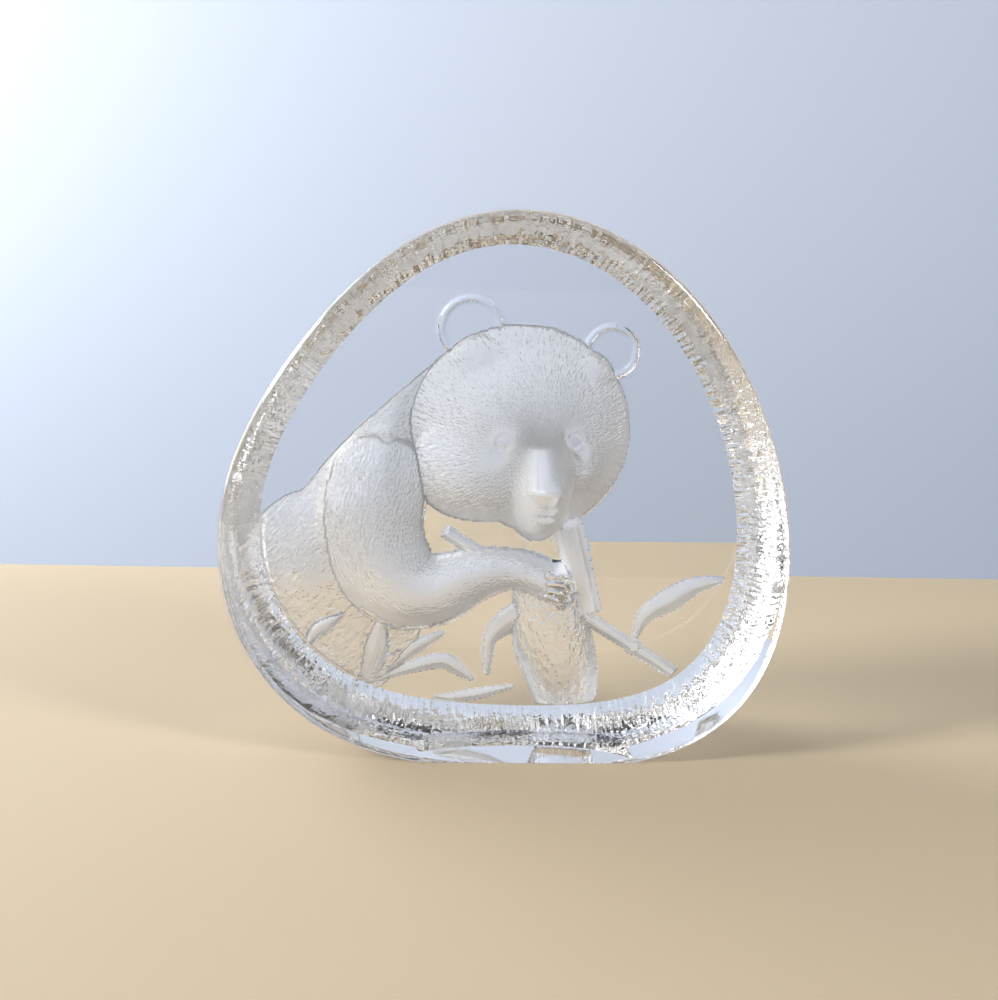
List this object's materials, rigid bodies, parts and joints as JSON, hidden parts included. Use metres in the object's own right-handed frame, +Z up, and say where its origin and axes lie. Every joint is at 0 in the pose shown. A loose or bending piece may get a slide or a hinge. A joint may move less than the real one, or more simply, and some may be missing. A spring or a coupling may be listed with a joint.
{
  "type": "glass paperweight",
  "caption": "Pebble-shaped clear glass paperweight with a frosted panda eating bamboo hollowed into its back, standing on a ground flat.",
  "frame": {"origin": "centre of the bounding box's underside, in the plane of the ground base", "axes": "+Z up, +X to the right seen from the front, -Y out of the polished front face"},
  "size_m": [0.14, 0.044, 0.135],
  "materials": {
    "crystal": "clear polished front, frosted figure, rough shoulder"
  },
  "bodies": {
    "root": {"crystal_block": "crystal"}
  },
  "joints": []
}
